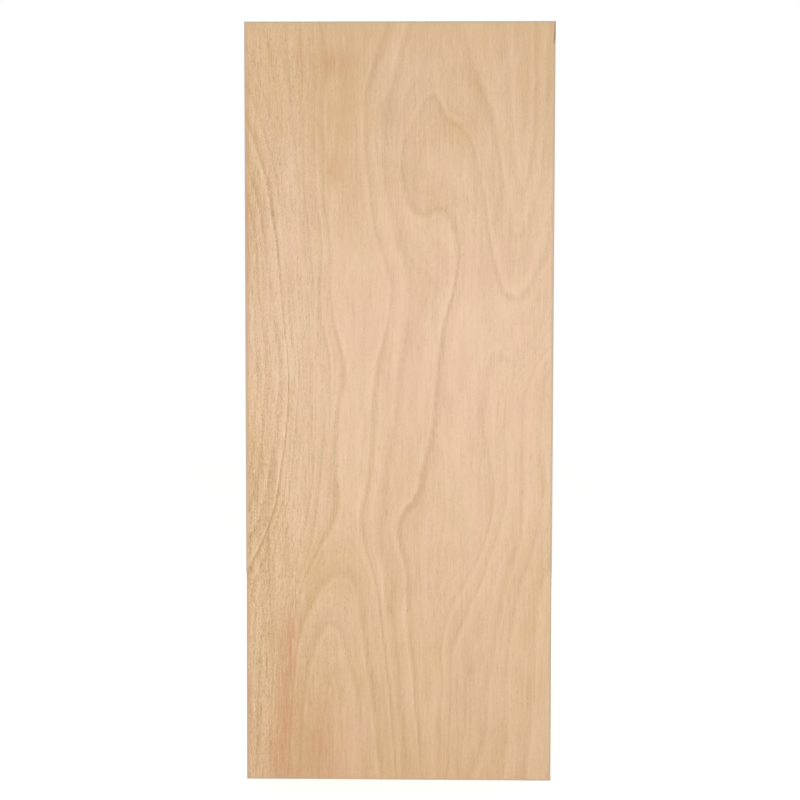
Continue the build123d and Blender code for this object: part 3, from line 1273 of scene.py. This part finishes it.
@dataclass
class VeneerSheet:
    """One face veneer, as a fine net that carries the figure of the wood.

    The net follows the solid's outline, its sanded arris and, in front, the place where a
    sliver is torn out.

    Attributes:
        node: The solid piece that it stands for.
        side: Its side of the leaf.
        figure: The figure of the face.
        torn: Whether the sliver is torn out.
        seed: Offset between the fine patterns of the two sheets.
        cell: Width and height of the net's cells, in metres.
        arris_radius: Radius of the sanded arris.
        tear_head_width: Width of the torn place at the head.
        tear_hook_width: How far its foot reaches in from the edge.
        tear_hook_drop: From the head down to its foot.
        tear_heel_width: How far in its foot ends on the side of the edge.
        tear_heel_drop: From the head down to there.
        tear_edge_drop: From the head down to where the edge is whole again.
        tear_rows: Rows of the net from the foot of the tear to there, and on to the head.
        tear_straight: Share of the tear, from the head, that runs straight down the fibre.
        tear_bend: How late it bends in from there to the hook.
        ragged: How far the torn fibre strays.
        ragged_turns: Two waves that make it stray, in radians over the tear's height.
        shortest_mitre: Length under which a mitre is taken as that long, at a sharp point.
        width: Width of the sheet.
        height: Its height.
        thickness: Its thickness.
        face: Where its face lies on Y.
    """

    node: str
    side: Side
    figure: Figure
    torn: bool
    seed: float
    cell: Pair = (2.6 * MM, 6.8 * MM)
    arris_radius: float = 0.35 * MM
    tear_head_width: float = 2.6 * MM
    tear_hook_width: float = 5.4 * MM
    tear_hook_drop: float = 62 * MM
    tear_heel_width: float = 3.2 * MM
    tear_heel_drop: float = 56 * MM
    tear_edge_drop: float = 36 * MM
    tear_rows: tuple[int, int] = (14, 11)
    tear_straight: float = 0.16
    tear_bend: float = 1.6
    ragged: float = 0.25 * MM
    ragged_turns: Pair = (61, 23)
    shortest_mitre: float = 0.9
    width: float = field(init=False)
    height: float = field(init=False)
    thickness: float = field(init=False)
    face: float = field(init=False)

    def __post_init__(self) -> None:
        """Takes the sheet's size and place from its solid."""
        low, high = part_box(self.node)
        self.width, self.height = high.x, high.z
        self.thickness = high.y - low.y
        self.face = low.y if self.side is Side.FRONT else high.y

    def rows(self) -> np.ndarray:
        """Sets out the net's rows, with rows at both ends of the torn place.

        Returns:
            Their heights.
        """
        foot, edge = self.height - self.tear_hook_drop, self.height - self.tear_edge_drop
        whole = np.linspace(0, foot, round(foot / self.cell[1]) + 1)
        hook = np.linspace(foot, edge, self.tear_rows[0])
        head = np.linspace(edge, self.height, self.tear_rows[1])
        return np.concatenate([whole, hook[1:], head[1:]])

    def seam(self, z: np.ndarray) -> np.ndarray:
        """Where the net's last inner column runs: along the tear, and below it straight down.

        Args:
            z: Heights of the rows.

        Returns:
            The column's distance from the hinge edge at each row.
        """
        if not self.torn:
            return np.full(len(z), self.width - self.tear_hook_width)
        drop = np.clip((self.height - z) / self.tear_hook_drop, 0, 1)
        # Flat at the head and bending in towards the hook, as the arc of the solid does
        bend = np.clip((drop - self.tear_straight) / (1 - self.tear_straight), 0, 1) ** self.tear_bend
        inward = self.tear_head_width + (self.tear_hook_width - self.tear_head_width) * bend
        waves = np.sin(drop * self.ragged_turns[0]) * np.sin(drop * self.ragged_turns[1])
        return self.width - inward + self.ragged * waves * (drop < 1) * (drop > 0)

    def net(self) -> tuple[np.ndarray, Cells]:
        """Lays out the flat net.

        Returns:
            Its points as x and z, and its cells as tuples of point numbers.
        """
        z = self.rows()
        seam = self.seam(z)
        columns = round((self.width - self.tear_hook_width) / self.cell[0])
        x = seam[:, None] * np.linspace(0, 1, columns + 1)
        inner = np.column_stack([x.ravel(), np.repeat(z, columns + 1)])
        grid = np.arange(x.size).reshape(x.shape)
        outer, strip = self.edge_strip(z, seam, grid[:, -1])
        return np.vstack([inner, outer]), self.cells_of(grid) + self.cells_of(strip)

    def edge_strip(
        self, z: np.ndarray, seam: np.ndarray, seam_points: np.ndarray
    ) -> tuple[np.ndarray, np.ndarray]:
        """Lays out the strip between the seam and the lock edge, which ends in a point at the tear.

        Args:
            z: Heights of the rows.
            seam: Where the seam runs at each row.
            seam_points: Numbers of the net's points on the seam.

        Returns:
            The points that the strip adds, and its rows of three point numbers.
        """
        drops = self.tear_hook_drop, self.tear_heel_drop, self.tear_edge_drop
        heights = [self.height - drop for drop in drops]
        lefts = [self.width - inward for inward in (self.tear_hook_width, self.tear_heel_width, 0)]
        on_seam, count = len(z), len(z)
        if self.torn:
            ends = np.array([heights[0], heights[-1]]) + SAME_HEIGHT
            on_seam, count = np.searchsorted(z, ends).tolist()
        first = seam_points[-1] + 1
        points, strip = [], []
        for row in range(count):
            left = seam[row] if row < on_seam else np.interp(z[row], heights, lefts)
            across = [left, left + (self.width - left) / 2, self.width]
            shared = [seam_points[row]] if row < on_seam else []
            if self.torn and row == count - 1:
                strip.append([first + len(points)] * 3)
                points.append((self.width, z[row]))
                continue
            added = across[len(shared) :]
            strip.append(shared + [first + len(points) + number for number in range(len(added))])
            points += [(x, z[row]) for x in added]
        return np.array(points), np.array(strip)

    @staticmethod
    def spread(zones: tuple[Zone, ...], places: np.ndarray) -> np.ndarray:
        """Adds up what zones change.

        Args:
            zones: The zones.
            places: Points of the sheet, in mm.

        Returns:
            The change at each point.
        """
        total = np.zeros(len(places))
        for zone in zones:
            offset = (places - zone.place) / zone.reach
            total += zone.change * np.exp(-(offset**2).sum(axis=1))
        return total

    @staticmethod
    def cells_of(grid: np.ndarray) -> Cells:
        """Cells between the rows and columns of a grid of point numbers, anticlockwise."""
        corners = np.stack([grid[:-1, :-1], grid[:-1, 1:], grid[1:, 1:], grid[1:, :-1]], axis=-1)
        return [tuple(dict.fromkeys(cell)) for cell in corners.reshape(-1, 4).tolist()]

    @staticmethod
    def outline(cells: Cells) -> np.ndarray:
        """Follows the edge of the net.

        Args:
            cells: The net's cells.

        Returns:
            The numbers of the points round its edge, anticlockwise.
        """
        sides = {(a, b) for cell in cells for a, b in zip(cell, cell[1:] + cell[:1])}
        after = {a: b for a, b in sides if (b, a) not in sides}
        start = min(after)
        loop = [start]
        while after[loop[-1]] != start:
            loop.append(after[loop[-1]])
        return np.array(loop)

    def inward(self, ring: np.ndarray) -> np.ndarray:
        """Direction into the sheet at each point of its outline, as long as a mitre needs.

        Args:
            ring: The outline's points, anticlockwise.

        Returns:
            One vector for each point.
        """
        ahead = np.roll(ring, -1, axis=0) - ring
        ahead /= np.linalg.norm(ahead, axis=1)[:, None]
        normal = np.column_stack([-ahead[:, 1], ahead[:, 0]])
        both = normal + np.roll(normal, 1, axis=0)
        length = np.linalg.norm(both, axis=1)[:, None]
        return 2 * both / np.maximum(length, self.shortest_mitre) ** 2

    def build(self) -> bpy.types.Object:
        """Builds the sheet, dresses it and lets it stand for its solid.

        Returns:
            The sheet.
        """
        flat, cells = self.net()
        loop = self.outline(cells)
        edge = flat[loop].copy()
        mitre = self.inward(edge)
        flat[loop] = edge + mitre * self.arris_radius
        # Rings round the arris and down the edge: how far in, and how far below the face
        bevel = (1 - math.sqrt(0.5)) * self.arris_radius
        steps = ((bevel, bevel), (0.0, self.arris_radius), (0.0, self.thickness))
        plan = np.vstack([flat, *(edge + mitre * inset for inset, _ in steps)])
        depth = np.zeros(len(flat)), *(np.full(len(edge), below) for _, below in steps)
        added = np.arange(len(edge) * len(steps)).reshape(len(steps), -1)
        rings = [loop, *(len(flat) + added)]
        for upper, lower in zip(rings, rings[1:]):
            quads = np.column_stack([upper, lower, np.roll(lower, -1), np.roll(upper, -1)])
            cells += [tuple(quad) for quad in quads.tolist()]
        cells.append(tuple(rings[-1][::-1].tolist()))
        y = self.face - self.side.value * np.concatenate(depth)
        points = np.column_stack([plan[:, 0], y, plan[:, 1]])
        if self.side is Side.BACK:
            cells = [cell[::-1] for cell in cells]

        mesh = bpy.data.meshes.new(self.node + "_sheet")
        mesh.from_pydata(points, [], cells)
        mesh.validate()
        self.mark(mesh, plan / MM)
        sheet = bpy.data.objects.new(self.node + "_sheet", mesh)
        bpy.context.scene.collection.objects.link(sheet)
        name = self.node.replace("face_veneer", "peeled_okoume")
        finish = PeeledOkoume(name, self.figure, (self.width, self.height), self.seed)
        mesh.materials.append(finish.make())
        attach(sheet, "root")
        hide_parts(self.node)
        log.info("%s: %d cells", sheet.name, len(mesh.polygons))
        return sheet

    def mark(self, mesh: bpy.types.Mesh, places: np.ndarray) -> None:
        """Writes the figure onto the net's points.

        Args:
            mesh: The net.
            places: Its points as x and z, in mm.
        """
        ring, width, depth = GrowthSurface(self.figure).at(places)
        x, z = places.T
        # Paler round mid height and darker towards head and foot: partly the wood's own tone, partly
        # painted light and painted shade
        tone_and_shade_fall = TONE_AND_SHADE_FALL * (np.abs(z - TONE_HEIGHT) / TONE_REACH) ** TONE_CURVE
        tone = TONE_AND_LIGHT_MIDDLE - tone_and_shade_fall + self.spread(self.figure.tones, places)
        pores = PORES_PLAIN + PORES_AT_HINGE * np.exp(-((x / PORES_REACH) ** 2))
        values = {
            "growth": ring,
            "ring_width": width,
            "line_depth": depth * (1 - self.spread(self.figure.fading, places)),
            "tone": tone / TONE_RANGE + 0.5,
            "pores": pores * (1 + self.spread(self.figure.open_grain, places)),
            "hue": self.spread(self.figure.hues, places),
            "blush": self.spread(self.figure.blushes, places),
        }
        for name, value in values.items():
            layer = mesh.attributes.new(name, "FLOAT", "POINT")
            layer.data.foreach_set("value", value.astype(np.float32))


@dataclass
class Facing:
    """The plies under one face veneer.

    Attributes:
        side: Its side of the leaf.
    """

    side: Side

    def dress(self) -> None:
        """Dresses the cross ply and the inner veneer."""
        for layer, fibre in (("cross_ply", Fibre.ACROSS), ("inner_veneer", Fibre.UPRIGHT)):
            node = f"{self.side.name.lower()}_{layer}"
            low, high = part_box(node)
            finish = PlyLayer(node + "_poplar", fibre, (low.y + high.y) / 2, high.y - low.y)
            dress(node, finish.make())


@dataclass
class SkeletonFrame:
    """Lippings, stiles, rails and lock blocks.

    Attributes:
        seed: Seed that places each bar's pith.
        pith_reach: Nearest and farthest that a pith lies from the middle of its bar, in metres.
    """

    seed: int = 7
    pith_reach: Pair = (35 * MM, 70 * MM)

    def dress(self) -> None:
        """Gives every bar its own timber, each cut from another place in a log."""
        draw = np.random.default_rng(self.seed)
        for node in sorted(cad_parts):
            if node.endswith(("veneer", "ply")):
                continue
            low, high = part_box(node)
            species = MERANTI if "lipping" in node else SPRUCE
            turn = draw.uniform(0, 2 * math.pi)
            reach = draw.uniform(*self.pith_reach)
            aside = math.cos(turn), math.sin(turn)
            if "rail" in node:
                fibre, way = Fibre.ACROSS, (0, *aside)
            else:
                fibre, way = Fibre.UPRIGHT, (*aside, 0)
            pith = tuple((low + high) / 2 + Vector(way) * reach)
            dress(node, SolidTimber(f"{node}_{species.name}", fibre, species, pith).make())


# Studio


@dataclass
class Studio:
    """White floor and backdrop, plain soft light, and the camera.

    Attributes:
        camera_place: Where the camera stands.
        pan: How far it turns from square-on towards the hinge edge, in degrees.
        tilt: How far it looks down, in degrees.
        roll: How far it leans, in degrees.
        lens_mm: Focal length.
        sensor_mm: Width of the picture behind the lens.
        sky: Strength of the even light from all round.
        lamps: Name and place of each soft lamp.
        lamp_aim: Where the lamps face, which is the middle of the leaf.
        lamp_width: Diameter of a lamp.
        lamp_watts: Power of a lamp.
        floor_half: Half the floor's width.
        floor_paint: The floor's colour.
        floor_glow: What the eye sees in the floor beside the light on it, up to white.
    """

    camera_place: Triple = (0.4861, -4.02, 1.2505)
    pan: float = 1.011
    tilt: float = 3.081
    roll: float = 0.089
    lens_mm: float = 67.14
    sensor_mm: float = 36.0
    sky: float = 0.56
    lamps: tuple[tuple[str, Triple], ...] = (
        ("key_lamp", (0.5, -3.4, 1.0)),
        ("rear_lamp", (0.3, 3.4, 1.0)),
    )
    lamp_aim: Triple = (0.413, 0.0, 1.1)
    lamp_width: float = 2.2
    lamp_watts: float = 44.0
    floor_half: float = 9.0
    floor_paint: str = "#F4F4F2"
    floor_glow: float = 0.5

    def build(self) -> None:
        """Sets everything up."""
        self.floor()
        self.backdrop()
        for name, place in self.lamps:
            self.lamp(name, place)
        self.camera()
        log.info("studio: floor, backdrop, %d lamps and camera", len(self.lamps))

    @staticmethod
    def white_to_eye(add: AddNode) -> Output:
        """Finds the rays that make a background.

        Args:
            add: Adds a node to the tree.

        Returns:
            1 on rays from the eye and through gloss or glass, else 0.
        """
        eye, gloss, glass = (
            add("LightPath", out=f"Is {ray} Ray") for ray in ("Camera", "Glossy", "Transmission")
        )
        seen = add("Math", (eye, gloss), operation="MAXIMUM")
        return add("Math", (seen, glass), operation="MAXIMUM")

    def backdrop(self) -> None:
        """Pure white to the eye, and the even soft light on the leaf."""
        world = bpy.data.worlds.new("white_room")
        bpy.context.scene.world = world
        world.use_nodes = True
        world.node_tree.nodes.clear()
        add = partial(add_node, world.node_tree)
        light = add("Background", (WHITE, self.sky))
        white = add("Background", (WHITE, 1.0))
        add("OutputWorld", (add("MixShader", (self.white_to_eye(add), light, white)),))

    def floor(self) -> None:
        """Pale floor that runs out into white and keeps the leaf's soft shadow."""
        half = self.floor_half
        mesh = bpy.data.meshes.new("floor")
        corners = [(-half, -half, 0), (half, -half, 0), (half, half, 0), (-half, half, 0)]
        mesh.from_pydata(corners, [], [(0, 1, 2, 3)])
        floor = bpy.data.objects.new("floor", mesh)
        bpy.context.scene.collection.objects.link(floor)
        material, add = new_material("matt_white_floor")
        paint = add("BsdfDiffuse", (linear(self.floor_paint),))
        glow = add("Emission", (WHITE, self.floor_glow))
        nothing = add("Emission", (BLACK, 0.0))
        lift = add("MixShader", (self.white_to_eye(add), nothing, glow))
        add("OutputMaterial", (add("AddShader", (paint, lift)),))
        mesh.materials.append(material)

    def lamp(self, name: str, place: Triple) -> None:
        """Adds a large soft lamp that faces the middle of the leaf.

        Args:
            name: Name of the lamp.
            place: Where it hangs.
        """
        light = bpy.data.lights.new(name, "AREA")
        light.shape, light.size, light.energy = "DISK", self.lamp_width, self.lamp_watts
        lamp = bpy.data.objects.new(name, light)
        lamp.location = place
        towards = Vector(self.lamp_aim) - Vector(place)
        lamp.rotation_euler = towards.to_track_quat("-Z", "Y").to_euler()
        bpy.context.scene.collection.objects.link(lamp)

    def camera(self) -> None:
        """Stands the camera where the photograph was taken from."""
        lens = bpy.data.cameras.new("camera")
        lens.lens, lens.sensor_width = self.lens_mm, self.sensor_mm
        camera = bpy.data.objects.new("camera", lens)
        turned = (
            Matrix.Rotation(math.radians(self.pan), 4, "Z")
            @ Matrix.Rotation(math.radians(90 - self.tilt), 4, "X")
            @ Matrix.Rotation(math.radians(self.roll), 4, "Z")
        )
        camera.matrix_world = Matrix.Translation(self.camera_place) @ turned
        bpy.context.scene.collection.objects.link(camera)
        bpy.context.scene.camera = camera


def main() -> None:
    """Builds the pieces in order and stands the leaf in the studio."""
    logging.basicConfig(level=logging.INFO, format="%(name)s: %(message)s")
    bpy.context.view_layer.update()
    bpy.context.scene.view_settings.view_transform = "Standard"
    VeneerSheet("front_face_veneer", Side.FRONT, FRONT_FIGURE, torn=True, seed=0.0).build()
    VeneerSheet("back_face_veneer", Side.BACK, BACK_FIGURE, torn=False, seed=40.0).build()
    Facing(Side.FRONT).dress()
    Facing(Side.BACK).dress()
    SkeletonFrame().dress()
    Studio().build()


if __name__ == "__main__":
    main()
